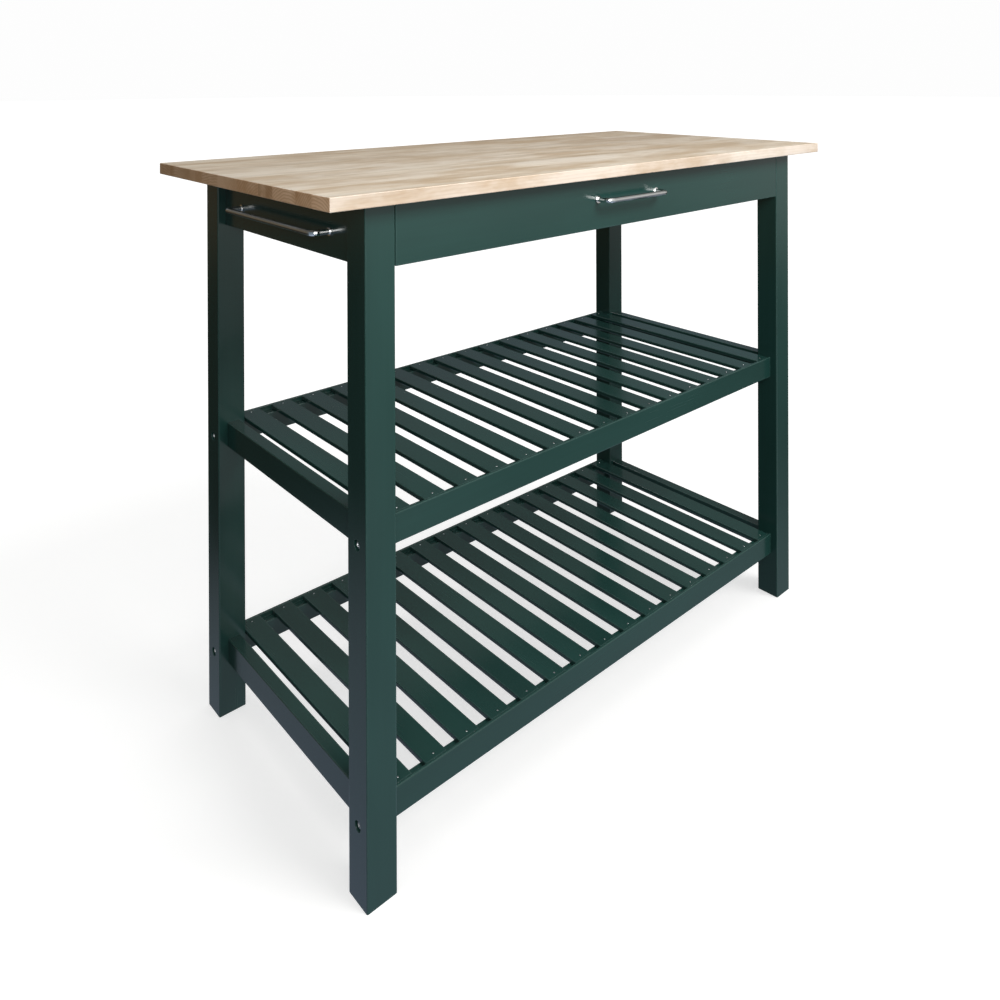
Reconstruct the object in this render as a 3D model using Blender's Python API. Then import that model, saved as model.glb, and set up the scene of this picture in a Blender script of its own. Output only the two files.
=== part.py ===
"""Kitchen work table: butcher block top, one wide drawer, a towel bar and two slatted shelves.

Metres, +Z up. X runs along the length, the front with the drawer faces -Y, and the origin is on
the floor under the middle of the table. Every wooden board, every slat and every metal fitting is
its own closed solid. Pieces that touch keep a hair of space between them.
"""
import math

import bmesh
import bpy
from mathutils import Vector

# Overall size
HEIGHT = 0.914
TOP_LENGTH = 1.130
TOP_DEPTH = 0.560
TOP_THICKNESS = 0.018

# Legs and the boards between them
LEG_SIZE = 0.045
OVERHANG_SIDE = 0.066
OVERHANG_FRONT = 0.030
RAIL_THICKNESS = 0.020
APRON_HEIGHT = 0.085
APRON_INSET = 0.013
STRETCHER_DEPTH = 0.025
STRETCHER_HEIGHT = 0.018

# Shelves: rabbeted long rails, plain end rails and slats that run front to back
SHELF_TOPS = {"lower_shelf": 0.1235, "middle_shelf": 0.483}
SHELF_RAIL_HEIGHT = 0.040
SHELF_RAIL_INSET = 0.015
LIP_THICKNESS = 0.0045
LEDGE_DROP = 0.008
SLAT_COUNT = 16
SLAT_WIDTH = 0.0355
SLAT_THICKNESS = 0.007
SLAT_TO_LEG = 0.0013

# Counterbored bolt holes on the legs' end faces, below the middle of each shelf rail
BOLT_HOLE_RADIUS = 0.0070
BOLT_HOLE_DEPTH = 0.006
BOLT_BELOW_SHELF_TOP = 0.025
BOLT_HOLE_SIDES = 20

# Drawer
FACE_THICKNESS = 0.018
FACE_SIDE_GAP = 0.0006
FACE_TOP_GAP = 0.0015
BOX_LENGTH = 0.430
BOX_WALL = 0.012
BOX_BOTTOM_Z = 0.8165
BOX_HEIGHT = 0.056
PANEL_THICKNESS = 0.005
PANEL_RISE = 0.007
GROOVE_DEPTH = 0.005
STRETCHER_CLEARANCE = 0.0007

# Drawer slides: a fixed channel on the legs and a runner on the drawer side
SLIDE_THICKNESS = 0.010
SLIDE_SHEET = 0.0012
SLIDE_LENGTH = 0.440
SLIDE_FRONT_SETBACK = 0.0255
CHANNEL_HEIGHT = 0.035
CHANNEL_REACH = 0.0087
RUNNER_HEIGHT = 0.025
RUNNER_REACH = 0.0063
RUNNER_LENGTH = 0.420

# Bent wire pull and towel bar
WIRE_RADIUS = 0.0040
WIRE_REACH = 0.0259
BEND_RADIUS = 0.0085
BEND_STEPS = 5
WIRE_SIDES = 12
COLLAR_RADIUS = 0.0062
COLLAR_THICKNESS = 0.0020
PULL_SPAN = 0.143
PULL_Z = 0.859
TOWEL_SPAN = 0.279
TOWEL_Z = 0.846

# Finish of the edges
GAP = 0.0003
LEG_EASING = 0.0018
RAIL_EASING = 0.0012
SLAT_EASING = 0.0012
TOP_EASING = 0.0010
FACE_EASING = 0.0012
BOX_EASING = 0.0008
EASING_SEGMENTS = 2
PARALLEL = 0.999
SHARP_ANGLE = math.radians(40)

# Worked out from the sizes above
LEG_X = TOP_LENGTH / 2 - OVERHANG_SIDE
LEG_Y = TOP_DEPTH / 2 - OVERHANG_FRONT
INNER_X = LEG_X - LEG_SIZE
INNER_Y = LEG_Y - LEG_SIZE
UNDER_TOP = HEIGHT - TOP_THICKNESS
APRON_BOTTOM = UNDER_TOP - APRON_HEIGHT
SLIDE_Z = BOX_BOTTOM_Z + BOX_HEIGHT / 2

ALONG_X = Vector((1, 0, 0))
ALONG_Y = Vector((0, 1, 0))
ALONG_Z = Vector((0, 0, 1))

MATERIALS = {
    "green_paint": {"color": (0.022, 0.052, 0.045), "roughness": 0.32, "metallic": 0.0},
    "maple_block": {"color": (0.62, 0.44, 0.27), "roughness": 0.45, "metallic": 0.0},
    "drawer_wood": {"color": (0.60, 0.45, 0.29), "roughness": 0.55, "metallic": 0.0},
    "polished_steel": {"color": (0.75, 0.75, 0.74), "roughness": 0.16, "metallic": 1.0},
    "zinc_steel": {"color": (0.55, 0.56, 0.57), "roughness": 0.35, "metallic": 1.0},
}


def make_material(name, color, roughness, metallic):
    material = bpy.data.materials.new(name)
    material.use_nodes = True
    shader = material.node_tree.nodes["Principled BSDF"]
    shader.inputs["Base Color"].default_value = (*color, 1.0)
    shader.inputs["Roughness"].default_value = roughness
    shader.inputs["Metallic"].default_value = metallic
    return material


def to_mesh(name, bm, smooth=True):
    """Close the bmesh into a mesh whose faces point out."""
    bmesh.ops.recalc_face_normals(bm, faces=bm.faces)
    mesh = bpy.data.meshes.new(name)
    bm.to_mesh(mesh)
    bm.free()
    if smooth:
        mesh.shade_smooth()
        mesh.set_sharp_from_angle(angle=SHARP_ANGLE)
    return mesh


def place(name, mesh, location, material, parent=None, turn=0.0):
    """Put a mesh in the scene at a world location, turned about Z, riding on an optional parent."""
    obj = bpy.data.objects.new(name, mesh)
    bpy.context.scene.collection.objects.link(obj)
    if not mesh.materials:
        mesh.materials.append(bpy.data.materials[material])
    obj.location = Vector(location)
    if parent:
        obj.parent = parent
        obj.location -= parent.location
    obj.rotation_euler.z = turn
    return obj


def ease(bm, width, along=None):
    """Round the convex edges that run along a direction, or all of them."""
    edges = []
    for edge in bm.edges:
        run = (edge.verts[1].co - edge.verts[0].co).normalized()
        if edge.is_convex and (along is None or abs(run.dot(along)) > PARALLEL):
            edges.append(edge)
    bmesh.ops.bevel(
        bm, geom=edges, offset=width, segments=EASING_SEGMENTS, profile=0.5, affect="EDGES"
    )


def board_mesh(name, size, easing, along=None):
    """A rectangular board round its own centre."""
    bm = bmesh.new()
    bmesh.ops.create_cube(bm, size=1.0)
    bmesh.ops.scale(bm, vec=Vector(size), verts=bm.verts)
    ease(bm, easing, along)
    return to_mesh(name, bm)


def board(name, low, high, material, easing, along=None, parent=None):
    """A rectangular board between two opposite corners."""
    low = Vector(low)
    high = Vector(high)
    mesh = board_mesh(name, high - low, easing, along)
    return place(name, mesh, (low + high) / 2, material, parent)


def prism_mesh(name, outline, axis, length, easing=0.0):
    """An outline of points at right angles to an axis, extruded along it round the middle."""
    bm = bmesh.new()
    points = [bm.verts.new(Vector(point) - axis * (length / 2)) for point in outline]
    start = bm.faces.new(points)
    grown = bmesh.ops.extrude_face_region(bm, geom=[start])
    far_end = [item for item in grown["geom"] if isinstance(item, bmesh.types.BMVert)]
    bmesh.ops.translate(bm, verts=far_end, vec=axis * length)
    bmesh.ops.recalc_face_normals(bm, faces=bm.faces)
    if easing:
        ease(bm, easing, axis)
    return to_mesh(name, bm)


def build_worktop():
    low = (-TOP_LENGTH / 2, -TOP_DEPTH / 2, UNDER_TOP)
    high = (TOP_LENGTH / 2, TOP_DEPTH / 2, HEIGHT)
    board("worktop", low, high, "maple_block", TOP_EASING)


def bolt_hole_cutter(name, x, y):
    """Two short cylinders along X, one at each shelf, that cut a leg's bolt holes."""
    bm = bmesh.new()
    for shelf_top in SHELF_TOPS.values():
        made = bmesh.ops.create_cone(
            bm,
            cap_ends=True,
            segments=BOLT_HOLE_SIDES,
            radius1=BOLT_HOLE_RADIUS,
            radius2=BOLT_HOLE_RADIUS,
            depth=2 * BOLT_HOLE_DEPTH,
        )
        turn = Vector((0, 0, 1)).rotation_difference(ALONG_X).to_matrix()
        bmesh.ops.rotate(bm, verts=made["verts"], matrix=turn)
        height = shelf_top - BOLT_BELOW_SHELF_TOP
        bmesh.ops.translate(bm, verts=made["verts"], vec=(0, 0, height))
    cutter = place(name, to_mesh(name, bm, smooth=False), (x, y, 0), "green_paint")
    cutter.hide_render = True
    cutter.display_type = "WIRE"
    return cutter


def build_legs():
    """Four square legs, each with two counterbored holes in its end face."""
    leg_height = UNDER_TOP - GAP
    mesh = board_mesh("leg", (LEG_SIZE, LEG_SIZE, leg_height), LEG_EASING, ALONG_Z)
    middle_x = LEG_X - LEG_SIZE / 2
    middle_y = LEG_Y - LEG_SIZE / 2
    for side, side_name in ((-1, "left"), (1, "right")):
        for end, end_name in ((-1, "front"), (1, "back")):
            spot = (side * middle_x, end * middle_y, leg_height / 2)
            leg = place(f"leg_{end_name}_{side_name}", mesh, spot, "green_paint")
            cutter = bolt_hole_cutter(f"{leg.name}_holes", side * LEG_X, end * middle_y)
            cut = leg.modifiers.new("bolt holes", "BOOLEAN")
            cut.operation = "DIFFERENCE"
            cut.solver = "EXACT"
            cut.object = cutter


def build_aprons():
    """The boards between the legs under the top, and the stretcher behind the drawer face."""
    outer_x = LEG_X - APRON_INSET
    outer_y = LEG_Y - APRON_INSET
    reach_y = INNER_Y - GAP
    reach_x = INNER_X - GAP
    top = UNDER_TOP - GAP
    for side, name in ((-1, "apron_left"), (1, "apron_right")):
        faces = sorted((side * outer_x, side * (outer_x - RAIL_THICKNESS)))
        low = (faces[0], -reach_y, APRON_BOTTOM)
        high = (faces[1], reach_y, top)
        board(name, low, high, "green_paint", RAIL_EASING, ALONG_Y)
    low = (-reach_x, outer_y - RAIL_THICKNESS, APRON_BOTTOM)
    high = (reach_x, outer_y, top)
    board("apron_back", low, high, "green_paint", RAIL_EASING, ALONG_X)
    front = -LEG_Y + FACE_THICKNESS + STRETCHER_CLEARANCE
    low = (-reach_x, front, UNDER_TOP - STRETCHER_HEIGHT)
    high = (reach_x, front + STRETCHER_DEPTH, top)
    board("front_stretcher", low, high, "green_paint", RAIL_EASING, ALONG_X)


def long_rail_mesh():
    """A front or back shelf rail: the outer face at -Y carries a lip, the slats lie on the ledge."""
    outer = -RAIL_THICKNESS / 2
    inner = RAIL_THICKNESS / 2
    lip = outer + LIP_THICKNESS
    ledge = SHELF_RAIL_HEIGHT - LEDGE_DROP
    outline = [
        (0, outer, 0),
        (0, inner, 0),
        (0, inner, ledge),
        (0, lip, ledge),
        (0, lip, SHELF_RAIL_HEIGHT),
        (0, outer, SHELF_RAIL_HEIGHT),
    ]
    return prism_mesh("long_rail", outline, ALONG_X, 2 * (INNER_X - GAP), RAIL_EASING)


def build_shelf(shelf, top):
    bottom = top - SHELF_RAIL_HEIGHT
    rail_y = LEG_Y - SHELF_RAIL_INSET - RAIL_THICKNESS / 2
    rail = long_rail_mesh()
    place(f"{shelf}_front_rail", rail, (0, -rail_y, bottom), "green_paint")
    place(f"{shelf}_back_rail", rail, (0, rail_y, bottom), "green_paint", turn=math.pi)

    end_size = (RAIL_THICKNESS, 2 * (INNER_Y - GAP), SHELF_RAIL_HEIGHT)
    end_rail = board_mesh("end_rail", end_size, RAIL_EASING, ALONG_Y)
    end_x = LEG_X - SHELF_RAIL_INSET - RAIL_THICKNESS / 2
    middle_z = (top + bottom) / 2
    place(f"{shelf}_left_rail", end_rail, (-end_x, 0, middle_z), "green_paint")
    place(f"{shelf}_right_rail", end_rail, (end_x, 0, middle_z), "green_paint")

    slat_reach = rail_y + RAIL_THICKNESS / 2 - LIP_THICKNESS - GAP
    slat = board_mesh("slat", (SLAT_WIDTH, 2 * slat_reach, SLAT_THICKNESS), SLAT_EASING, ALONG_Y)
    slat_z = top - LEDGE_DROP + GAP + SLAT_THICKNESS / 2
    first_x = -(INNER_X - SLAT_TO_LEG - SLAT_WIDTH / 2)
    pitch = -2 * first_x / (SLAT_COUNT - 1)
    for index in range(SLAT_COUNT):
        spot = (first_x + index * pitch, 0, slat_z)
        place(f"{shelf}_slat_{index + 1:02d}", slat, spot, "green_paint")


def wire_path(span):
    """Centre points and directions of a bent wire handle in the XY plane, standing off towards -Y."""
    half = span / 2
    corner_x = half - BEND_RADIUS
    corner_y = -WIRE_REACH + BEND_RADIUS
    path = [(Vector((-half, -COLLAR_THICKNESS, 0)), Vector((0, -1, 0)))]
    for side, first, last in ((-1, math.pi, 1.5 * math.pi), (1, 1.5 * math.pi, 2 * math.pi)):
        for step in range(BEND_STEPS + 1):
            angle = first + (last - first) * step / BEND_STEPS
            outward = Vector((math.cos(angle), math.sin(angle), 0))
            centre = Vector((side * corner_x, corner_y, 0))
            path.append((centre + outward * BEND_RADIUS, Vector((-outward.y, outward.x, 0))))
    path.append((Vector((half, -COLLAR_THICKNESS, 0)), Vector((0, 1, 0))))
    return path


def wire_handle_mesh(name, span):
    """A round wire bent into a flat U with a collar at each foot, as one closed skin."""
    path = wire_path(span)
    start, direction = path[0]
    end = path[-1][0]
    foot = Vector((0, COLLAR_THICKNESS - GAP, 0))
    rings = [(start + foot, direction, COLLAR_RADIUS), (start, direction, COLLAR_RADIUS)]
    rings += [(point, heading, WIRE_RADIUS) for point, heading in path]
    rings += [(end, -direction, COLLAR_RADIUS), (end + foot, -direction, COLLAR_RADIUS)]

    bm = bmesh.new()
    loops = []
    for point, heading, radius in rings:
        across = heading.cross(ALONG_Z)
        loop = []
        for index in range(WIRE_SIDES):
            angle = 2 * math.pi * index / WIRE_SIDES
            offset = across * math.cos(angle) + ALONG_Z * math.sin(angle)
            loop.append(bm.verts.new(point + offset * radius))
        loops.append(loop)
    for near, far in zip(loops, loops[1:]):
        for index in range(WIRE_SIDES):
            after = (index + 1) % WIRE_SIDES
            bm.faces.new((near[index], near[after], far[after], far[index]))
    bm.faces.new(loops[0])
    bm.faces.new(loops[-1])
    return to_mesh(name, bm)


def build_towel_bar():
    spot = (-LEG_X + APRON_INSET, 0, TOWEL_Z)
    mesh = wire_handle_mesh("towel_bar", TOWEL_SPAN)
    place("towel_bar", mesh, spot, "polished_steel", turn=-math.pi / 2)


def channel_outline(back, reach, height):
    """A C section in the XZ plane: its web lies at x = back and its flanges reach sideways."""
    inward = math.copysign(SLIDE_SHEET, reach)
    half = height / 2
    return [
        (back, 0, -half),
        (back + reach, 0, -half),
        (back + reach, 0, -half + SLIDE_SHEET),
        (back + inward, 0, -half + SLIDE_SHEET),
        (back + inward, 0, half - SLIDE_SHEET),
        (back + reach, 0, half - SLIDE_SHEET),
        (back + reach, 0, half),
        (back, 0, half),
    ]


def build_slides(carriage):
    """A channel on each pair of legs, and the runner inside it that carries the drawer."""
    front = -LEG_Y + SLIDE_FRONT_SETBACK
    channel_back = INNER_X - GAP
    runner_back = INNER_X - SLIDE_THICKNESS
    for side, name in ((-1, "left"), (1, "right")):
        outline = channel_outline(side * channel_back, -side * CHANNEL_REACH, CHANNEL_HEIGHT)
        mesh = prism_mesh("slide_channel", outline, ALONG_Y, SLIDE_LENGTH)
        spot = (0, front + SLIDE_LENGTH / 2, SLIDE_Z)
        place(f"slide_channel_{name}", mesh, spot, "zinc_steel")
        outline = channel_outline(side * runner_back, side * RUNNER_REACH, RUNNER_HEIGHT)
        mesh = prism_mesh("slide_runner", outline, ALONG_Y, RUNNER_LENGTH)
        spot = (0, front + RUNNER_LENGTH / 2, SLIDE_Z)
        place(f"slide_runner_{name}", mesh, spot, "zinc_steel", carriage)


def drawer_side_outline(side):
    """A drawer side across its length, with the groove that holds the bottom panel."""
    outer = side * (INNER_X - SLIDE_THICKNESS - 2 * GAP)
    inner = outer - side * BOX_WALL
    groove = inner + side * GROOVE_DEPTH
    low = PANEL_RISE - GAP
    high = PANEL_RISE + PANEL_THICKNESS + GAP
    return [
        (outer, 0, 0),
        (inner, 0, 0),
        (inner, 0, low),
        (groove, 0, low),
        (groove, 0, high),
        (inner, 0, high),
        (inner, 0, BOX_HEIGHT),
        (outer, 0, BOX_HEIGHT),
    ]


def build_drawer():
    """The drawer and its slides. Its pieces ride on an empty at the middle of the pull's feet."""
    carriage = bpy.data.objects.new("drawer_carriage", None)
    bpy.context.scene.collection.objects.link(carriage)
    carriage.location = (0, -LEG_Y, PULL_Z)

    face_reach = INNER_X - FACE_SIDE_GAP
    face_back = -LEG_Y + FACE_THICKNESS
    low = (-face_reach, -LEG_Y, APRON_BOTTOM)
    high = (face_reach, face_back, UNDER_TOP - FACE_TOP_GAP)
    board("drawer_face", low, high, "green_paint", FACE_EASING, parent=carriage)

    box_front = face_back + GAP
    box_back = box_front + BOX_LENGTH
    for side, name in ((-1, "drawer_side_left"), (1, "drawer_side_right")):
        outline = drawer_side_outline(side)
        mesh = prism_mesh(name, outline, ALONG_Y, BOX_LENGTH, BOX_EASING)
        spot = (0, (box_front + box_back) / 2, BOX_BOTTOM_Z)
        place(name, mesh, spot, "drawer_wood", carriage)

    inside = INNER_X - SLIDE_THICKNESS - 2 * GAP - BOX_WALL
    panel_bottom = BOX_BOTTOM_Z + PANEL_RISE
    panel_top = panel_bottom + PANEL_THICKNESS
    panel_reach = inside + GROOVE_DEPTH - GAP
    low = (-panel_reach, box_front, panel_bottom)
    high = (panel_reach, box_back, panel_top)
    board("drawer_bottom", low, high, "drawer_wood", GAP, parent=carriage)

    low = (-inside + GAP, box_back - BOX_WALL, panel_top + GAP)
    high = (inside - GAP, box_back, BOX_BOTTOM_Z + BOX_HEIGHT)
    board("drawer_back", low, high, "drawer_wood", BOX_EASING, ALONG_X, carriage)

    pull = wire_handle_mesh("drawer_pull", PULL_SPAN)
    place("drawer_pull", pull, carriage.location, "polished_steel", carriage)
    build_slides(carriage)


def clear_scene():
    for obj in list(bpy.data.objects):
        bpy.data.objects.remove(obj, do_unlink=True)


def main():
    clear_scene()
    for name, look in MATERIALS.items():
        make_material(name, **look)
    build_worktop()
    build_legs()
    build_aprons()
    build_towel_bar()
    for shelf, top in SHELF_TOPS.items():
        build_shelf(shelf, top)
    build_drawer()


main()
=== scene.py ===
"""Looks of a kitchen work table: butcher block top, green painted frame, bent wire fittings.

Metres, +Z up, X along the length, the front with the drawer faces -Y. Wood, paint and metal are
solid procedural materials in each piece's own space, and the screws, bolts and nails are meshes
placed from the corners of the boards that they hold.
"""
import math

import bmesh
import bpy
from mathutils import Matrix, Vector


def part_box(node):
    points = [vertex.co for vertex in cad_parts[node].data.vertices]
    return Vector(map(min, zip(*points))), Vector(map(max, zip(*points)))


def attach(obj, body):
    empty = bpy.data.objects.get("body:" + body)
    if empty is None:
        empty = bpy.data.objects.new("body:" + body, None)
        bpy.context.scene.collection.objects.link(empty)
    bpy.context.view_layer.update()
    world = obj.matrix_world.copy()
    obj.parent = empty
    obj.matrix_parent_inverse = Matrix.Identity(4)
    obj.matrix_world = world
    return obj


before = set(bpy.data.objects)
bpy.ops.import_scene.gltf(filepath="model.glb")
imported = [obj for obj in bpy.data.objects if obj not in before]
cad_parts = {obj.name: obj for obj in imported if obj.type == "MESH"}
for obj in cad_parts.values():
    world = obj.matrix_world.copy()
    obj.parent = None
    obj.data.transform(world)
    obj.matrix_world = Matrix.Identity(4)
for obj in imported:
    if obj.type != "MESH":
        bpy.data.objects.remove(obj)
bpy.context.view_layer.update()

SHELVES = ("lower_shelf", "middle_shelf")
SLAT_COUNT = 16
SIDES = ("left", "right")
ENDS = ("front", "back")

# Camera
CAMERA_PLACE = (-1.06994, -1.18488, 1.05856)
CAMERA_YAW = 0.75146
CAMERA_PITCH = 0.00272
CAMERA_ROLL = -0.0031
CAMERA_LENS = 30.767
CAMERA_SENSOR = 36.0
CAMERA_SHIFT = (-0.0404, -0.4232)

# Studio: four softboxes for the table, a sun for the floor alone, and the surround's colour by
# height, from -1 straight down to 1 straight up: in the dim room, in the pale wall at the front and
# in that wall's end at the right
LAMP_TARGET = (0.0, -0.10, 0.65)
KEY_PLACE = (0.12, -1.80, 2.00)
KEY_SIZE = (1.1, 0.8)
KEY_POWER = 54.0
FILL_PLACE = (-1.20, -1.40, 1.20)
FILL_SIZE = (0.6, 0.6)
FILL_POWER = 9.0
RIM_PLACE = (1.15, -1.50, 2.40)
RIM_SIZE = (0.4, 0.4)
RIM_POWER = 34.0
BACK_PLACE = (0.90, 2.30, 0.60)
BACK_SIZE = (1.2, 0.8)
BACK_POWER = 32.0
SUN_FROM = (0.35, -0.75, 0.60)
SUN_ENERGY = 1.5
SUN_ANGLE = math.radians(30)
FLOOR_GLOW = 0.62
FLOOR_RADIUS = 40.0
BACKDROP = (0.985, 0.985, 0.985)
WALL_SIDE = (0.25, -0.97)
WALL_MIDDLE = (0.82, 0.93)
WALL_END = (0.45, 0.62)
ROOM = (
    (-1.00, (0.44, 0.54, 0.70)),
    (-0.68, (0.30, 0.36, 0.48)),
    (-0.55, (0.25, 0.30, 0.36)),
    (-0.49, (0.18, 0.21, 0.24)),
    (-0.455, (0.025, 0.025, 0.022)),
    (-0.22, (0.035, 0.025, 0.015)),
    (-0.16, (0.14, 0.10, 0.055)),
    (-0.02, (0.15, 0.11, 0.065)),
    (0.12, (0.11, 0.10, 0.08)),
    (0.29, (0.18, 0.25, 0.32)),
    (0.36, (0.20, 0.20, 0.19)),
    (0.46, (0.13, 0.14, 0.15)),
    (0.56, (0.25, 0.25, 0.24)),
    (0.72, (0.36, 0.37, 0.37)),
    (1.00, (1.20, 1.20, 1.20)),
)
WALL = (
    (-1.00, (0.90, 1.00, 1.20)),
    (-0.66, (1.15, 1.24, 1.44)),
    (-0.50, (0.98, 1.04, 1.16)),
    (-0.43, (0.92, 0.95, 1.00)),
    (-0.37, (0.50, 0.51, 0.53)),
    (-0.29, (0.40, 0.40, 0.41)),
    (-0.20, (0.44, 0.44, 0.44)),
    (-0.14, (0.92, 0.92, 0.90)),
    (0.30, (0.66, 0.66, 0.65)),
    (1.00, (1.00, 1.00, 1.00)),
)
WALL_RIGHT = (
    (-1.00, (0.46, 0.56, 0.72)),
    (-0.50, (0.34, 0.38, 0.43)),
    (-0.43, (0.20, 0.21, 0.23)),
    (-0.36, (0.07, 0.07, 0.07)),
    (-0.24, (0.10, 0.10, 0.10)),
    (-0.12, (0.64, 0.64, 0.63)),
    (0.30, (0.60, 0.60, 0.59)),
    (1.00, (1.00, 1.00, 1.00)),
)

# Hardware
BOLT_RADIUS = 0.0060
BOLT_HEIGHT = 0.0036
BOLT_BELOW_SHELF_TOP = 0.025
BOLT_HOLE_DEPTH = 0.006
NAIL_RADIUS = 0.0014
NAIL_HEIGHT = 0.0005
NAIL_FROM_END = 0.0080
SCREW_RADIUS = 0.0040
SCREW_HEIGHT = 0.0024
RUNNER_SCREW_RADIUS = 0.0034
RUNNER_SCREW_HEIGHT = 0.0012
RUNNER_SCREW_SHARES = (0.06, 0.5, 0.92)
CHANNEL_SCREW_RADIUS = 0.0028
CHANNEL_SCREW_HEIGHT = 0.0010
CHANNEL_SCREW_FROM_FRONT = 0.010
CHANNEL_SCREW_FROM_BACK = 0.006
CHANNEL_SCREW_OFF_MIDDLE = 0.007
SHEET_THICKNESS = 0.0012
TOUCH = 0.0001
WIRE_COLLAR = 0.0062
HEX_SOCKET = 0.0050
FITTING_CROSS = 0.0021
RUNNER_CROSS = 0.0017
CHANNEL_CROSS = 0.0014
HEAD_SIDES = 48
NAIL_SIDES = 16
CROWN_STEPS = 5
CREASE = math.radians(35)

# Colours, linear
PAINT = (0.0092, 0.0360, 0.0305)
# Painted highlight: the lighter green that the boards' rounded edges are tinted toward
PAINT_EDGE_HIGHLIGHT = (0.0500, 0.1000, 0.0900)
MAPLE_PALE = (0.660, 0.595, 0.505)
MAPLE_TAN = (0.480, 0.375, 0.260)
MAPLE_DARK = (0.360, 0.255, 0.160)
MAPLE_WARM = (1.00, 0.93, 0.84)
END_GRAIN = (1.14, 0.86, 0.64)
# Painted shade: the worktop's front and back edges are multiplied by this, a little darker and cooler
LONG_EDGE_SHADE = (0.89, 0.88, 0.91)
HEARTWOOD = (0.330, 0.185, 0.105)
SAPWOOD = (0.640, 0.580, 0.480)
BIRCH_LIGHT = (0.640, 0.490, 0.320)
BIRCH_DARK = (0.480, 0.320, 0.180)
STEEL_LIGHT = (0.80, 0.80, 0.785)
STEEL_DARK = (0.72, 0.72, 0.71)
ZINC_LIGHT = (0.62, 0.63, 0.64)
ZINC_DARK = (0.47, 0.48, 0.50)

# Marks of the wood and the paint: how wide a year's ring is, the radius of the rounded edges that get a
# painted highlight, and the flecks of the worktop, by their places and their size along and across it
MAPLE_YEAR = 0.0042
BIRCH_YEAR = 0.0036
EDGE_HIGHLIGHT_RADIUS = 0.0030
FLECKS = ((-0.24, 0.07), (-0.21, 0.02), (-0.19, -0.12), (-0.08, -0.16), (-0.54, -0.12))
FLECK_SIZE = (0.016, 0.0022)

# Staves of the worktop, front to back, all from 0 to 1: where each one ends across the depth, how
# pale it is, how warm, where the tree's heart lies across the depth, and a seed for its grain
STAVES = (
    (0.075, 0.80, 0.30, 0.10, 0.13),
    (0.150, 0.55, 0.55, 0.02, 0.71),
    (0.2625, 0.72, 0.25, 0.22, 0.37),
    (0.3393, 0.25, 0.80, 0.41, 0.92),
    (0.4607, 0.66, 0.35, 0.33, 0.24),
    (0.580, 0.60, 0.45, 0.62, 0.58),
    (0.6786, 0.48, 0.65, 0.60, 0.83),
    (0.7679, 0.58, 0.45, 0.80, 0.05),
    (0.9107, 0.36, 0.75, 0.83, 0.46),
    (1.000, 0.30, 0.80, 0.95, 0.66),
)


# ---------------------------------------------------------------- node helpers


class Graph:
    """The node tree of one material, with short calls for the nodes that it is made of."""

    def __init__(self, name):
        self.material = bpy.data.materials.new(name)
        self.material.use_nodes = True
        self.tree = self.material.node_tree
        self.shader = self.tree.nodes["Principled BSDF"]
        self.coords = self.tree.nodes.new("ShaderNodeTexCoord")

    def add(self, kind, inputs, output=0, **settings):
        """A new node; each input is a number, a colour or another node's output."""
        made = self.tree.nodes.new(kind)
        for key, value in settings.items():
            setattr(made, key, value)
        for key, value in inputs.items():
            self.feed(made.inputs[key], value)
        return made.outputs[output]

    def feed(self, socket, value):
        if isinstance(value, bpy.types.NodeSocket):
            self.tree.links.new(value, socket)
        elif socket.type == "RGBA" and len(value) == 3:
            socket.default_value = (*value, 1.0)
        else:
            socket.default_value = value

    def set(self, name, value):
        """Set or link one socket of the surface shader."""
        self.feed(self.shader.inputs[name], value)

    def math(self, operation, a, b=0.0, c=0.0):
        return self.add("ShaderNodeMath", {0: a, 1: b, 2: c}, operation=operation)

    def span(self, value, low, high, to_low=0.0, to_high=1.0, smooth=False):
        """Carry value from the range low..high to another one, and stop at its ends."""
        kind = "SMOOTHSTEP" if smooth else "LINEAR"
        inputs = {"Value": value, "From Min": low, "From Max": high, "To Min": to_low, "To Max": to_high}
        return self.add("ShaderNodeMapRange", inputs, interpolation_type=kind)

    def mix(self, factor, a, b, blend="MIX"):
        inputs = {0: factor, 6: a, 7: b}
        return self.add("ShaderNodeMix", inputs, 2, data_type="RGBA", blend_type=blend)

    def vector(self, x, y, z):
        return self.add("ShaderNodeCombineXYZ", {0: x, 1: y, 2: z})

    def parts(self, vector):
        split = self.tree.nodes.new("ShaderNodeSeparateXYZ")
        self.tree.links.new(vector, split.inputs[0])
        return list(split.outputs)

    def noise(self, vector, scale=1.0, detail=3.0, roughness=0.55):
        inputs = {"Vector": vector, "Scale": scale, "Detail": detail, "Roughness": roughness}
        return self.add("ShaderNodeTexNoise", inputs)

    def stretched(self, axes, along, across, shift=0.0, detail=3.0, roughness=0.55):
        """Noise drawn out along the grain: features per metre along it and across it."""
        a, b, c = axes
        start = self.math("MULTIPLY_ADD", a, along, shift)
        vector = self.vector(start, self.math("MULTIPLY", b, across), self.math("MULTIPLY", c, across))
        return self.noise(vector, 1.0, detail, roughness)

    def grain_axes(self, axis):
        """Object coordinates in the order along the grain, across it and through the board."""
        x, y, z = self.parts(self.coords.outputs["Object"])
        return {"x": (x, y, z), "y": (y, x, z), "z": (z, x, y)}[axis]

    def end_mask(self, axis, low=0.6, high=0.8):
        """1 on the faces that cut across the grain."""
        facing = self.parts(self.coords.outputs["Normal"])["xyz".index(axis)]
        return self.span(self.math("ABSOLUTE", facing), low, high)

    def bump(self, height, distance, strength=1.0, normal=None):
        inputs = {"Height": height, "Distance": distance, "Strength": strength}
        if normal is not None:
            inputs["Normal"] = normal
        return self.add("ShaderNodeBump", inputs)

    def chance(self):
        """A random number from 0 to 1 that is steady for each object."""
        return self.tree.nodes.new("ShaderNodeObjectInfo").outputs["Random"]


# ---------------------------------------------------------------- materials


def grey(g, value):
    return g.add("ShaderNodeCombineColor", {0: value, 1: value, 2: value})


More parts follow.
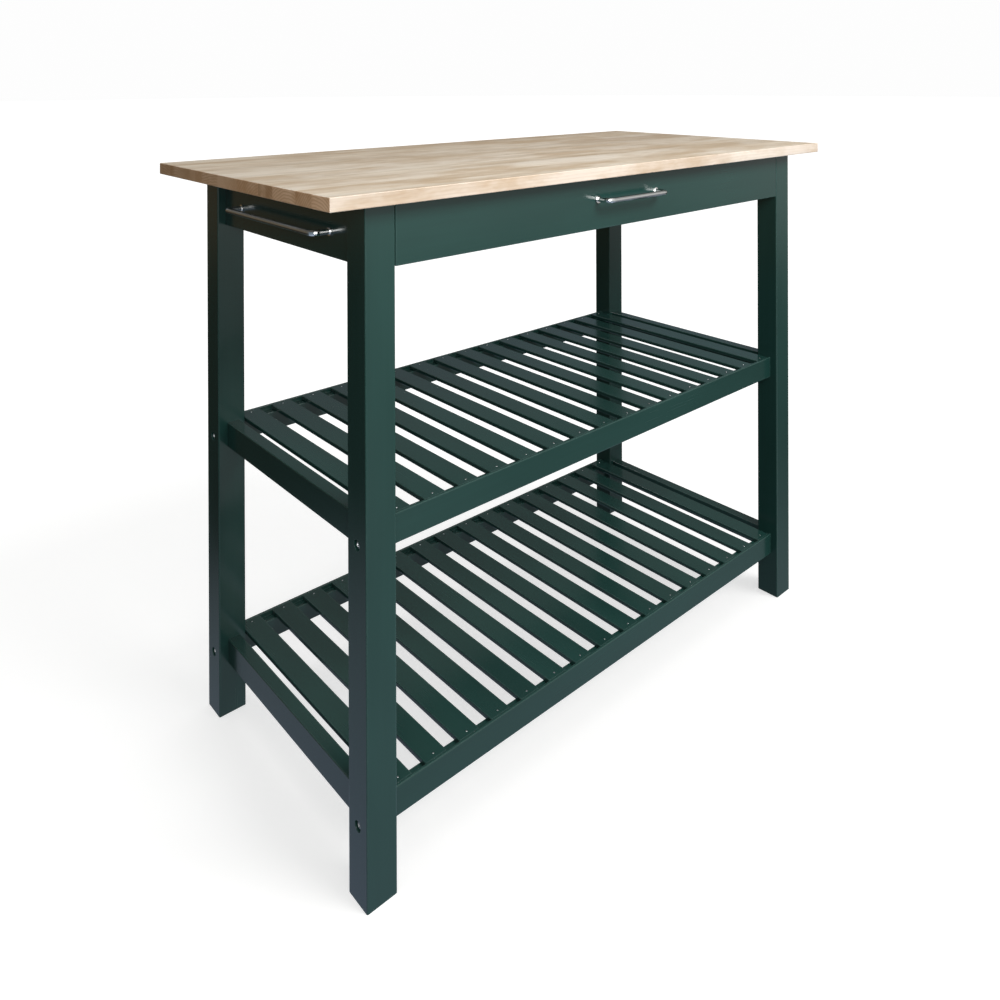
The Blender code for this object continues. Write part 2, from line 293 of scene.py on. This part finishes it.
def edge_mask(g, radius):
    """1 on a board's rounded edges and 0 on its flats."""
    rounded = g.add("ShaderNodeBevel", {"Radius": radius}, samples=4)
    true = g.tree.nodes.new("ShaderNodeNewGeometry").outputs["True Normal"]
    alike = g.add("ShaderNodeVectorMath", {0: rounded, 1: true}, 1, operation="DOT_PRODUCT")
    return g.span(alike, 0.985, 0.91, smooth=True)


def painted_wood(name, axis):
    """Brushed satin paint over planed wood, whose grain shows faintly along the board, with a painted
    highlight on its rounded edges.
    """
    g = Graph(name)
    axes = g.grain_axes(axis)
    board = g.chance()
    shift = g.math("MULTIPLY", board, 37.0)
    clouds = g.stretched(axes, 3.0, 11.0, shift, 2.0)
    grain = g.stretched(axes, 5.0, 190.0, shift, 4.0, 0.6)
    brush = g.stretched(axes, 14.0, 900.0, shift, 2.0)

    tone = g.span(clouds, 0.3, 0.7, 0.90, 1.10)
    tone = g.math("MULTIPLY", tone, g.span(grain, 0.3, 0.7, 0.97, 1.03))
    tone = g.math("MULTIPLY", tone, g.span(board, 0.0, 1.0, 0.94, 1.06))
    colour = g.mix(1.0, PAINT, grey(g, tone), "MULTIPLY")
    # Painted highlight: the rounded edges turn a lighter green, broken up by the brush noise
    edge_highlight = g.math("MULTIPLY", edge_mask(g, EDGE_HIGHLIGHT_RADIUS), g.span(brush, 0.35, 0.75, 0.35, 0.85))
    colour = g.mix(edge_highlight, colour, PAINT_EDGE_HIGHLIGHT)
    g.set("Base Color", colour)

    rough = g.span(clouds, 0.3, 0.7, 0.19, 0.26)
    rough = g.math("ADD", rough, g.span(brush, 0.3, 0.7, -0.02, 0.02))
    g.set("Roughness", rough)
    g.set("Specular IOR Level", 0.42)
    g.set("Coat Weight", 0.16)
    g.set("Coat Roughness", 0.13)
    swells = g.stretched(axes, 4.0, 24.0, g.math("ADD", shift, 5.0), 2.0)
    raised = g.span(swells, 0.50, 0.70, 0.15, 1.0)
    bump = g.bump(grain, 0.000075, raised)
    bump = g.bump(brush, 0.000005, normal=bump)
    g.set("Normal", bump)
    return g.material


def growth_rings(g, axes, heart_across, heart_depth, shift, pitch):
    """Growth rings round a heart line that runs along the grain and wanders a little: 0 in the
    pale early wood, rising to 1 in the thin dark line that ends each year."""
    along, across, depth = axes
    drift = g.math("MULTIPLY_ADD", along, 1.7, shift)
    slow = g.noise(g.vector(drift, g.math("MULTIPLY", across, 9.0), shift))
    quick = g.stretched(axes, 9.0, 45.0, shift, 2.0)
    sideways = g.math("SUBTRACT", across, heart_across)
    down = g.math("SUBTRACT", depth, heart_depth)
    reach = g.math("SQRT", g.math("ADD", g.math("POWER", sideways, 2.0), g.math("POWER", down, 2.0)))
    reach = g.math("MULTIPLY_ADD", slow, 0.034, reach)
    reach = g.math("MULTIPLY_ADD", quick, 0.0022, reach)
    year = g.math("FRACT", g.math("DIVIDE", reach, pitch))
    rise = g.span(year, 0.25, 0.93, smooth=True)
    fall = g.span(year, 1.0, 0.95)
    return g.math("MULTIPLY", g.math("POWER", rise, 2.0), fall)


def long_grain(g, colour, axes, shift, strength=1.0):
    """Streaks, fibres and short dark pore lines along the grain, multiplied into a colour."""
    streaks = g.stretched(axes, 1.5, 42.0, shift, 3.0, 0.6)
    fibres = g.stretched(axes, 12.0, 620.0, shift, 3.0, 0.6)
    pores = g.stretched(axes, 55.0, 1500.0, shift, 1.0)
    tone = g.span(streaks, 0.28, 0.72, 1 - 0.10 * strength, 1 + 0.07 * strength)
    tone = g.math("MULTIPLY", tone, g.span(fibres, 0.3, 0.7, 1 - 0.05 * strength, 1 + 0.04 * strength))
    tone = g.math("MULTIPLY", tone, g.span(pores, 0.60, 0.78, 1.0, 1 - 0.16 * strength))
    return g.mix(1.0, colour, grey(g, tone), "MULTIPLY"), fibres


def band(g, axes, centre, half_width, from_along, to_along, shift):
    """A soft streak along the grain that grows from one place along it to another."""
    along, across, _ = axes
    wander = g.noise(g.vector(g.math("MULTIPLY", along, 2.3), shift, 0.0), 1.0, 2.0)
    offset = g.math("ADD", across, g.math("MULTIPLY_ADD", wander, 0.016, -0.008 - centre))
    width = g.span(g.math("ABSOLUTE", offset), half_width, 0.0, smooth=True)
    length = g.span(along, from_along, to_along, smooth=True)
    ragged = g.span(g.stretched(axes, 4.0, 160.0, shift, 2.0), 0.3, 0.65, 0.35, 1.0)
    return g.math("MULTIPLY", g.math("MULTIPLY", width, length), ragged)


def fleck(g, axes, place, size):
    """A small mark drawn out along the grain."""
    along, across, _ = axes
    a = g.math("DIVIDE", g.math("SUBTRACT", along, place[0]), size[0])
    b = g.math("DIVIDE", g.math("SUBTRACT", across, place[1]), size[1])
    far = g.math("ADD", g.math("MULTIPLY", a, a), g.math("MULTIPLY", b, b))
    return g.span(far, 1.0, 0.0, smooth=True)


def butcher_block(name):
    """Edge-glued maple staves under a satin oil finish, with end grain on both ends."""
    low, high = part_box("worktop")
    depth = high.y - low.y
    g = Graph(name)
    axes = g.grain_axes("x")
    along, across, through = axes
    share = g.span(across, low.y, high.y)
    ramp = g.tree.nodes.new("ShaderNodeValToRGB")
    ramp.color_ramp.interpolation = "CONSTANT"
    g.feed(ramp.inputs[0], share)
    stops = ramp.color_ramp.elements
    start = 0.0
    for number, (end, pale, warm, heart, seed) in enumerate(STAVES):
        stop = stops[number] if number < 2 else stops.new(start)
        stop.position = start
        stop.color = (pale, warm, heart, seed)
        start = end
    split = g.tree.nodes.new("ShaderNodeSeparateColor")
    g.feed(split.inputs[0], ramp.outputs["Color"])
    pale, warm, heart = split.outputs
    seed = ramp.outputs["Alpha"]
    shift = g.math("MULTIPLY", seed, 53.0)

    heart_across = g.span(heart, 0.0, 1.0, low.y - 0.03, high.y + 0.03)
    heart_depth = g.span(seed, 0.0, 1.0, low.z - 0.020, low.z - 0.110)
    rings = growth_rings(g, axes, heart_across, heart_depth, shift, MAPLE_YEAR)
    end = g.end_mask("x")

    blotches = g.stretched(axes, 6.5, 17.0, shift, 4.0, 0.65)
    drift = g.math("MULTIPLY_ADD", along, 2.6, shift)
    patches = g.noise(g.vector(drift, g.math("MULTIPLY", across, 6.0), 0.0))
    tan = g.span(blotches, 0.40, 0.62, 0.0, 0.85)
    tan = g.math("ADD", tan, g.span(patches, 0.35, 0.65, -0.30, 0.50))
    colour = g.mix(g.span(tan, 0.0, 1.0), MAPLE_PALE, MAPLE_TAN)
    colour = g.mix(g.math("MULTIPLY", rings, g.span(end, 0.0, 1.0, 0.16, 0.60)), colour, MAPLE_DARK)
    tint = g.mix(warm, (1.0, 1.0, 1.0), MAPLE_WARM)
    colour = g.mix(1.0, colour, tint, "MULTIPLY")
    darkest = g.span(end, 0.0, 1.0, 0.88, 0.60)
    stave_tone = g.math("MULTIPLY_ADD", pale, g.math("SUBTRACT", 1.06, darkest), darkest)
    colour = g.mix(1.0, colour, grey(g, stave_tone), "MULTIPLY")

    brown = band(g, axes, 0.105, 0.012, 0.05, 0.42, 3.0)
    colour = g.mix(g.math("MULTIPLY", brown, 0.85), colour, HEARTWOOD)
    ruddy = band(g, axes, 0.030, 0.110, 0.00, 0.45, 12.0)
    colour = g.mix(g.math("MULTIPLY", ruddy, 0.40), colour, MAPLE_DARK)
    cool = band(g, axes, -0.100, 0.016, 0.10, -0.35, 8.0)
    colour = g.mix(g.math("MULTIPLY", cool, 0.55), colour, SAPWOOD)
    marks = 0.0
    for place in FLECKS:
        marks = g.math("MAXIMUM", marks, fleck(g, axes, place, FLECK_SIZE))
    colour = g.mix(g.math("MULTIPLY", marks, 0.45), colour, MAPLE_DARK)

    face, fibres = long_grain(g, colour, axes, shift)
    speckle = g.noise(g.vector(g.math("MULTIPLY", along, 60.0), across, through), 1500.0, 2.0)
    cut = g.mix(1.0, colour, grey(g, g.span(speckle, 0.35, 0.70, 1.08, 0.74)), "MULTIPLY")
    cut = g.mix(1.0, cut, END_GRAIN, "MULTIPLY")
    colour = g.mix(end, face, cut)
    # Painted shade: the worktop's faces toward the front and the back are darkened a little
    sideways = g.math("ABSOLUTE", g.parts(g.coords.outputs["Normal"])[1])
    colour = g.mix(g.span(sideways, 0.6, 0.8), colour, g.mix(1.0, colour, LONG_EDGE_SHADE, "MULTIPLY"))

    joint = 0.0
    for stave in STAVES[:-1]:
        line = low.y + stave[0] * depth
        off = g.math("ABSOLUTE", g.math("SUBTRACT", across, line))
        joint = g.math("MAXIMUM", joint, g.span(off, 0.00045, 0.00010))
    colour = g.mix(g.math("MULTIPLY", joint, 0.30), colour, HEARTWOOD)
    g.set("Base Color", colour)
    g.set("Roughness", g.span(fibres, 0.3, 0.7, 0.40, 0.50))
    g.set("Specular IOR Level", 0.45)
    bump = g.bump(fibres, 0.00004)
    bump = g.bump(joint, 0.00008, normal=bump)
    bump = g.bump(speckle, 0.00004, g.math("MULTIPLY", end, 0.8), normal=bump)
    g.set("Normal", bump)
    return g.material


def plain_wood(name, axis):
    """Clear-lacquered birch for the drawer box; every board has grain of its own."""
    g = Graph(name)
    axes = g.grain_axes(axis)
    chance = g.chance()
    shift = g.math("MULTIPLY", chance, 41.0)
    heart_across = g.span(chance, 0.0, 1.0, -0.30, 0.30)
    heart_depth = g.span(chance, 0.0, 1.0, 0.70, 0.78)
    rings = growth_rings(g, axes, heart_across, heart_depth, shift, BIRCH_YEAR)
    end = g.end_mask(axis)
    colour = g.mix(g.math("MULTIPLY", rings, 0.45), BIRCH_LIGHT, BIRCH_DARK)
    face, fibres = long_grain(g, colour, axes, shift, 1.2)
    colour = g.mix(end, face, g.mix(1.0, colour, END_GRAIN, "MULTIPLY"))
    g.set("Base Color", colour)
    g.set("Roughness", g.span(fibres, 0.3, 0.7, 0.42, 0.54))
    g.set("Normal", g.bump(fibres, 0.00005))
    return g.material


def polished_steel(name, axis):
    """Polished drawn wire: faint lines along it and a little haze."""
    g = Graph(name)
    axes = g.grain_axes(axis)
    drawn = g.stretched(axes, 9.0, 2600.0, 0.0, 2.0)
    haze = g.noise(g.coords.outputs["Object"], 70.0, 3.0)
    g.set("Base Color", g.mix(haze, STEEL_LIGHT, STEEL_DARK))
    g.set("Metallic", 1.0)
    rough = g.span(drawn, 0.3, 0.7, 0.07, 0.13)
    g.set("Roughness", g.math("ADD", rough, g.span(haze, 0.3, 0.7, 0.0, 0.05)))
    g.set("Normal", g.bump(drawn, 0.000006))
    return g.material


def zinc_steel(name):
    """Bright zinc plate: small crystals of slightly different grey and fine rolling lines."""
    g = Graph(name)
    place = g.coords.outputs["Object"]
    crystals = g.add("ShaderNodeTexVoronoi", {"Vector": place, "Scale": 260.0}, 1)
    tone = g.parts(crystals)[0]
    lines = g.noise(place, 900.0, 2.0)
    g.set("Base Color", g.mix(tone, ZINC_LIGHT, ZINC_DARK))
    g.set("Metallic", 1.0)
    rough = g.span(tone, 0.0, 1.0, 0.26, 0.40)
    g.set("Roughness", g.math("ADD", rough, g.span(lines, 0.3, 0.7, -0.03, 0.03)))
    g.set("Normal", g.bump(lines, 0.000010))
    return g.material


def studio_floor(name):
    """A matt pale floor with a little light of its own."""
    g = Graph(name)
    soft = g.noise(g.coords.outputs["Object"], 0.7, 2.0)
    g.set("Base Color", g.mix(soft, (0.60, 0.595, 0.585), (0.62, 0.615, 0.605)))
    g.set("Emission Color", (1.0, 1.0, 1.0))
    g.set("Emission Strength", FLOOR_GLOW)
    g.set("Roughness", 0.75)
    return g.material


# ---------------------------------------------------------------- finishes of the boards


def finish_nodes():
    """Give every board and fitting of the frame its material."""
    paint = {axis: painted_wood(f"green_paint_{axis}", axis) for axis in "xyz"}
    birch = {axis: plain_wood(f"drawer_wood_{axis}", axis) for axis in "xy"}
    zinc = zinc_steel("zinc_steel")
    looks = {
        "worktop": butcher_block("butcher_block"),
        "apron_back": paint["x"],
        "front_stretcher": paint["x"],
        "drawer_face": paint["x"],
        "drawer_back": birch["x"],
        "drawer_bottom": birch["x"],
        "drawer_pull": polished_steel("polished_steel_x", "x"),
        "towel_bar": polished_steel("polished_steel_y", "y"),
    }
    for side in SIDES:
        looks[f"apron_{side}"] = paint["y"]
        looks[f"drawer_side_{side}"] = birch["y"]
        looks[f"slide_channel_{side}"] = zinc
        looks[f"slide_runner_{side}"] = zinc
        for end in ENDS:
            looks[f"leg_{end}_{side}"] = paint["z"]
    for shelf in SHELVES:
        for end in ENDS:
            looks[f"{shelf}_{end}_rail"] = paint["x"]
        for side in SIDES:
            looks[f"{shelf}_{side}_rail"] = paint["y"]
        for number in range(1, SLAT_COUNT + 1):
            looks[f"{shelf}_slat_{number:02d}"] = paint["y"]
    for node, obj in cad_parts.items():
        obj.data.materials.clear()
        obj.data.materials.append(looks[node])


# ---------------------------------------------------------------- fasteners


def hexagon(across_flats):
    """The outline of a hexagon: the distance from its centre at an angle."""
    def reach(angle):
        sixth = math.pi / 3
        return across_flats / 2 / math.cos((angle + sixth / 2) % sixth - sixth / 2)
    return reach


def cross(arm):
    """The outline of two crossed bars, each a third as wide as long: its distance at an angle."""
    def reach(angle):
        quarter = math.pi / 2
        off = abs((angle + quarter / 2) % quarter - quarter / 2)
        side = arm / 3 / max(math.sin(off), 0.05)
        return min(arm / math.cos(off), side)
    return reach


def head_rings(radius, height, drive):
    """Rings from the underside of a fastener's head over its crown: (radius at angle, height)."""
    rings = [(lambda angle: radius * 0.96, 0.0), (lambda angle: radius, height * 0.12)]
    for step in range(CROWN_STEPS + 1):
        turn = math.pi / 2 * step / CROWN_STEPS
        reach = radius * (0.62 + 0.38 * math.cos(turn))
        rise = height * (0.25 + 0.75 * math.sin(turn))
        rings.append((lambda angle, reach=reach: reach, rise))
    if drive:
        rings.append((drive, height))
        rings.append((lambda angle: drive(angle) * 0.94, height * 0.93))
        rings.append((lambda angle: drive(angle) * 0.80, height * 0.30))
    return rings


def add_head(bm, place, outward, radius, height, drive, sides):
    """One head in a bmesh: a closed shell lofted through its rings, pointing outward."""
    frame_turn = Vector((0, 0, 1)).rotation_difference(Vector(outward)).to_matrix()
    loops = []
    for reach, rise in head_rings(radius, height, drive):
        loop = []
        for side in range(sides):
            angle = 2 * math.pi * side / sides
            local = Vector((reach(angle) * math.cos(angle), reach(angle) * math.sin(angle), rise))
            loop.append(bm.verts.new(Vector(place) + frame_turn @ local))
        loops.append(loop)
    for lower, upper in zip(loops, loops[1:]):
        for side in range(sides):
            after = (side + 1) % sides
            bm.faces.new((lower[side], lower[after], upper[after], upper[side]))
    bm.faces.new(list(reversed(loops[0])))
    bm.faces.new(loops[-1])


def heads(name, places, outward, radius, height, steel, body, drive=None, sides=HEAD_SIDES):
    """A group of identical heads as one piece that rides on a body."""
    bm = bmesh.new()
    for place in places:
        add_head(bm, place, outward, radius, height, drive, sides)
    bmesh.ops.recalc_face_normals(bm, faces=bm.faces)
    mesh = bpy.data.meshes.new(name)
    bm.to_mesh(mesh)
    bm.free()
    mesh.shade_smooth()
    mesh.set_sharp_from_angle(angle=CREASE)
    mesh.materials.append(steel)
    piece = bpy.data.objects.new(name, mesh)
    bpy.context.scene.collection.objects.link(piece)
    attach(piece, body)


def shelf_bolts(steel):
    """Hex socket bolts at the bottom of the counterbores in the legs' end faces."""
    for side, sign in zip(SIDES, (-1, 1)):
        places = []
        for shelf in SHELVES:
            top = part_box(f"{shelf}_front_rail")[1].z
            for end in ENDS:
                low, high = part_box(f"leg_{end}_{side}")
                face = low.x if sign < 0 else high.x
                bottom = face - sign * (BOLT_HOLE_DEPTH - TOUCH)
                places.append((bottom, (low.y + high.y) / 2, top - BOLT_BELOW_SHELF_TOP))
        heads(f"shelf_bolts_{side}", places, (sign, 0, 0), BOLT_RADIUS, BOLT_HEIGHT, steel,
              "frame", hexagon(HEX_SOCKET))


def shelf_nails(steel):
    """A nail at each end of each slat, into the ledge of the long rail below it."""
    for shelf in SHELVES:
        places = []
        for number in range(1, SLAT_COUNT + 1):
            low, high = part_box(f"{shelf}_slat_{number:02d}")
            middle = (low.x + high.x) / 2
            for y in (low.y + NAIL_FROM_END, high.y - NAIL_FROM_END):
                places.append((middle, y, high.z - TOUCH))
        heads(f"{shelf}_nails", places, (0, 0, 1), NAIL_RADIUS, NAIL_HEIGHT, steel,
              "frame", sides=NAIL_SIDES)


def fitting_screws(steel):
    """Pan head screws behind the feet of the pull and of the towel bar."""
    drive = cross(FITTING_CROSS)
    low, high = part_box("drawer_pull")
    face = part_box("drawer_face")[1].y
    foot = low.z + (high.z - low.z) / 2
    reach = (high.x - low.x) / 2 - WIRE_COLLAR
    places = [(sign * reach, face, foot) for sign in (-1, 1)]
    heads("pull_screws", places, (0, 1, 0), SCREW_RADIUS, SCREW_HEIGHT, steel, "drawer", drive)
    low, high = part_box("towel_bar")
    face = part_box("apron_left")[1].x
    reach = (high.y - low.y) / 2 - WIRE_COLLAR
    middle = (low.z + high.z) / 2
    places = [(face, sign * reach, middle) for sign in (-1, 1)]
    heads("towel_bar_screws", places, (1, 0, 0), SCREW_RADIUS, SCREW_HEIGHT, steel, "frame", drive)


def slide_screws(steel):
    """Low heads inside the slides: the channel's into the legs, the runner's into the drawer side."""
    for side, sign in zip(SIDES, (-1, 1)):
        low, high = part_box(f"slide_channel_{side}")
        wall = (low.x if sign < 0 else high.x) - sign * SHEET_THICKNESS
        middle = (low.z + high.z) / 2
        ends = (low.y + CHANNEL_SCREW_FROM_FRONT, high.y - CHANNEL_SCREW_FROM_BACK)
        levels = (middle - CHANNEL_SCREW_OFF_MIDDLE, middle + CHANNEL_SCREW_OFF_MIDDLE)
        places = [(wall, y, z) for y in ends for z in levels]
        heads(f"channel_screws_{side}", places, (-sign, 0, 0), CHANNEL_SCREW_RADIUS,
              CHANNEL_SCREW_HEIGHT, steel, "frame", cross(CHANNEL_CROSS))
        low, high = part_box(f"slide_runner_{side}")
        wall = (high.x if sign < 0 else low.x) + sign * SHEET_THICKNESS
        length = high.y - low.y
        places = [(wall, low.y + share * length, middle) for share in RUNNER_SCREW_SHARES]
        heads(f"runner_screws_{side}", places, (sign, 0, 0), RUNNER_SCREW_RADIUS,
              RUNNER_SCREW_HEIGHT, steel, "drawer", cross(RUNNER_CROSS))


# ---------------------------------------------------------------- studio


def build_camera():
    data = bpy.data.cameras.new("camera")
    data.sensor_width = CAMERA_SENSOR
    data.lens = CAMERA_LENS
    data.shift_x, data.shift_y = CAMERA_SHIFT
    camera = bpy.data.objects.new("camera", data)
    bpy.context.scene.collection.objects.link(camera)
    bpy.context.scene.camera = camera
    yaw, pitch, roll = CAMERA_YAW, CAMERA_PITCH, CAMERA_ROLL
    ahead = math.cos(pitch)
    forward = Vector((math.sin(yaw) * ahead, math.cos(yaw) * ahead, -math.sin(pitch)))
    level = Vector((math.cos(yaw), -math.sin(yaw), 0))
    upright = level.cross(forward)
    right = level * math.cos(roll) + upright * math.sin(roll)
    up = upright * math.cos(roll) - level * math.sin(roll)
    turn = Matrix((right, up, -forward)).transposed()
    camera.matrix_world = Matrix.Translation(CAMERA_PLACE) @ turn.to_4x4()


def build_floor():
    bm = bmesh.new()
    bmesh.ops.create_circle(bm, cap_ends=True, radius=FLOOR_RADIUS, segments=96)
    mesh = bpy.data.meshes.new("studio_floor")
    bm.to_mesh(mesh)
    bm.free()
    mesh.materials.append(studio_floor("studio_floor"))
    floor = bpy.data.objects.new("studio_floor", mesh)
    bpy.context.scene.collection.objects.link(floor)
    floor.visible_glossy = False
    floor.visible_diffuse = False
    return floor


def colour_stops(tree, value, stops):
    """A ramp of greys and colours over a direction's height, from straight down to straight up."""
    ramp = tree.nodes.new("ShaderNodeValToRGB")
    points = ramp.color_ramp.elements
    for number, (height, colour) in enumerate(stops):
        point = points[number] if number < 2 else points.new(1.0)
        point.position = (height + 1) / 2
        point.color = (*colour, 1.0)
    tree.links.new(value, ramp.inputs[0])
    return ramp.outputs["Color"]


def build_world():
    """Pale surround. What it throws on the table is a pale wall at the front, which ends at the
    right, and a dim room elsewhere, down to a pale sheet below the horizon."""
    world = bpy.data.worlds.new("studio")
    bpy.context.scene.world = world
    world.use_nodes = True
    tree = world.node_tree

    def join(kind, inputs, output=0, **settings):
        made = tree.nodes.new(kind)
        for key, value in settings.items():
            setattr(made, key, value)
        for key, value in inputs.items():
            if isinstance(value, bpy.types.NodeSocket):
                tree.links.new(value, made.inputs[key])
            else:
                made.inputs[key].default_value = value
        return made.outputs[output]

    def blend(share, first, second):
        return join("ShaderNodeMix", {0: share, 6: first, 7: second}, 2, data_type="RGBA")

    def within(value, edge):
        ends = {"Value": value, "From Min": edge[0], "From Max": edge[1]}
        return join("ShaderNodeMapRange", ends, interpolation_type="SMOOTHSTEP")

    toward = tree.nodes.new("ShaderNodeTexCoord").outputs["Generated"]
    front = join("ShaderNodeVectorMath", {0: toward, 1: (*WALL_SIDE, 0.0)}, 1, operation="DOT_PRODUCT")
    up = join("ShaderNodeSeparateXYZ", {0: toward}, 2)
    height = join("ShaderNodeMapRange", {"Value": up, "From Min": -1.0})
    walls = blend(within(front, WALL_MIDDLE), colour_stops(tree, height, WALL_RIGHT),
                  colour_stops(tree, height, WALL))
    around = blend(within(front, WALL_END), colour_stops(tree, height, ROOM), walls)
    seen = tree.nodes.new("ShaderNodeLightPath").outputs["Is Camera Ray"]
    shown = blend(seen, around, (*BACKDROP, 1.0))
    tree.links.new(shown, tree.nodes["Background"].inputs["Color"])


def build_lamp(name, kind, energy, **settings):
    data = bpy.data.lights.new(name, kind)
    data.energy = energy
    for key, value in settings.items():
        setattr(data, key, value)
    lamp = bpy.data.objects.new(name, data)
    bpy.context.scene.collection.objects.link(lamp)
    return lamp


def limit_light(lamp, floor, state):
    """Let a lamp light the floor only (INCLUDE) or everything but the floor (EXCLUDE)."""
    group = bpy.data.collections.new(f"{lamp.name}_receivers")
    group.objects.link(floor)
    lamp.light_linking.receiver_collection = group
    group.collection_objects[0].light_linking.link_state = state


def build_softbox(name, place, size, power, floor):
    """A soft lamp that lights the table and leaves the floor to the floor's own light."""
    lamp = build_lamp(name, "AREA", power, shape="RECTANGLE", size=size[0], size_y=size[1])
    lamp.location = place
    aim = Vector(LAMP_TARGET) - Vector(place)
    lamp.rotation_euler = aim.to_track_quat("-Z", "Y").to_euler()
    lamp.visible_camera = False
    limit_light(lamp, floor, "EXCLUDE")
    return lamp


def build_lamps(floor):
    """A key lamp high at the front, weaker ones at the left corner, high at the right and at the
    back, and the floor's own light."""
    build_softbox("key", KEY_PLACE, KEY_SIZE, KEY_POWER, floor)
    build_softbox("fill", FILL_PLACE, FILL_SIZE, FILL_POWER, floor)
    build_softbox("rim", RIM_PLACE, RIM_SIZE, RIM_POWER, floor).visible_diffuse = False
    build_softbox("back", BACK_PLACE, BACK_SIZE, BACK_POWER, floor).visible_glossy = False
    sun = build_lamp("floor_light", "SUN", SUN_ENERGY, angle=SUN_ANGLE)
    sun.rotation_euler = Vector(SUN_FROM).to_track_quat("Z", "Y").to_euler()
    limit_light(sun, floor, "INCLUDE")


def build_studio():
    build_world()
    build_lamps(build_floor())
    bpy.context.scene.view_settings.view_transform = "Standard"


def main():
    build_camera()
    build_studio()
    finish_nodes()
    steel = zinc_steel("fastener_steel")
    shelf_bolts(steel)
    shelf_nails(steel)
    fitting_screws(steel)
    slide_screws(steel)


main()
